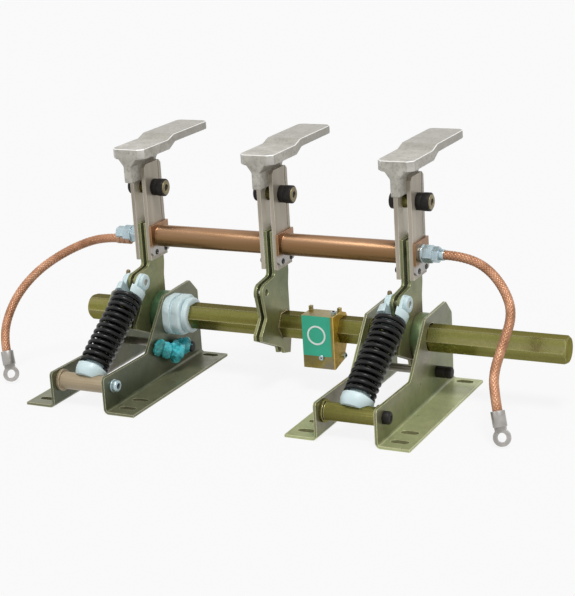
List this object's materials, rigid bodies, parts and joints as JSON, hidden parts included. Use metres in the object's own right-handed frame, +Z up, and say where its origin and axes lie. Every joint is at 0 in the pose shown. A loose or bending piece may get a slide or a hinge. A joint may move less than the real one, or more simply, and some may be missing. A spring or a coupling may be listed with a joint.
{
  "type": "earthing switch",
  "caption": "Indoor earthing switch: hexagonal shaft on bent brackets swings contact blades into fixed contacts, with toggle springs, copper tubes and earthing braids.",
  "frame": {"origin": "centre of the outer rectangle of base slots, on the underside of the feet", "axes": "+X along the main shaft towards its long drive end, +Y away from the operator's side, +Z up"},
  "size_m": [0.8672, 0.352, 0.3575],
  "materials": {
    "yellow_zinc": "yellow zinc plated steel, satin",
    "green_zinc": "dark green passivated steel",
    "white_nylon": "natural nylon",
    "black_steel": "black oxide steel",
    "cast_contact": "satin silver-plated casting",
    "copper_braid": "bare braided copper",
    "tinned_lug": "tinned copper",
    "silver_plate": "silver-plated copper, satin",
    "copper": "bare copper",
    "blue_zinc": "blue-white zinc plated steel",
    "black_sleeve": "black insulating sleeve",
    "black_spring": "glossy black spring steel"
  },
  "bodies": {
    "frame": {"bracket_left_left_plate": "yellow_zinc", "bracket_left_right_plate": "yellow_zinc", "bracket_right_left_plate": "yellow_zinc", "bracket_right_right_plate": "yellow_zinc", "bearing_disc_left": "green_zinc", "bearing_disc_right": "green_zinc", "bearing_block": "white_nylon", "pivot_pin_left": "black_steel", "pivot_pin_right": "black_steel", "pivot_spacer_left": "yellow_zinc", "pivot_spacer_right": "yellow_zinc", "stop_rod_left": "yellow_zinc", "stop_rod_right": "yellow_zinc", "fixed_contact_left": "cast_contact", "fixed_contact_middle": "cast_contact", "fixed_contact_right": "cast_contact", "braid_left": "copper_braid", "braid_right": "copper_braid", "lug_left": "tinned_lug", "lug_right": "tinned_lug"},
    "rotor": {"main_shaft": "yellow_zinc", "crank_left": "yellow_zinc", "crank_middle": "yellow_zinc", "crank_right": "yellow_zinc", "blades_left": "silver_plate", "blades_middle": "silver_plate", "blades_right": "silver_plate", "contact_tube_left": "copper", "contact_tube_right": "copper", "terminal_plate": "copper", "tie_rod": "blue_zinc", "terminal_nut_left": "blue_zinc", "terminal_nut_right": "blue_zinc", "clamp_bolt_left": "black_sleeve", "clamp_bolt_middle": "black_sleeve", "clamp_bolt_right": "black_sleeve", "crank_pin_left": "yellow_zinc", "crank_pin_right": "yellow_zinc", "position_indicator": "yellow_zinc"},
    "seat_left": {"spring_seat_left": "white_nylon", "coil_spring_left": "black_spring"},
    "fork_left": {"spring_fork_left": "white_nylon"},
    "seat_right": {"spring_seat_right": "white_nylon", "coil_spring_right": "black_spring"},
    "fork_right": {"spring_fork_right": "white_nylon"}
  },
  "joints": [
    {"name": "shaft_turn", "type": "hinge", "parent": "frame", "child": "rotor", "pos_m": [0, 0.054, 0.091], "axis": [1, 0, 0], "range_deg": [0, 82]},
    {"name": "seat_turn_left", "type": "hinge", "parent": "frame", "child": "seat_left", "pos_m": [-0.21, -0.122, 0.0355], "axis": [1, 0, 0], "range_deg": [-36.51, 0.5], "deforming": ["coil_spring_left"]},
    {"name": "seat_turn_right", "type": "hinge", "parent": "frame", "child": "seat_right", "pos_m": [0.21, -0.122, 0.0355], "axis": [1, 0, 0], "range_deg": [-36.51, 0.5], "deforming": ["coil_spring_right"]},
    {"name": "fork_turn_left", "type": "hinge", "parent": "rotor", "child": "fork_left", "pos_m": [-0.19, 0.003, 0.153], "axis": [1, 0, 0], "range_deg": [-118.51, 0.5]},
    {"name": "fork_turn_right", "type": "hinge", "parent": "rotor", "child": "fork_right", "pos_m": [0.23, 0.003, 0.153], "axis": [1, 0, 0], "range_deg": [-118.51, 0.5]}
  ],
  "couplings": [
    {"joint": "seat_turn_left", "follows": "shaft_turn", "ratio": -0.43909},
    {"joint": "seat_turn_right", "follows": "shaft_turn", "ratio": -0.43909},
    {"joint": "fork_turn_left", "follows": "shaft_turn", "ratio": -1.4391},
    {"joint": "fork_turn_right", "follows": "shaft_turn", "ratio": -1.4391}
  ]
}
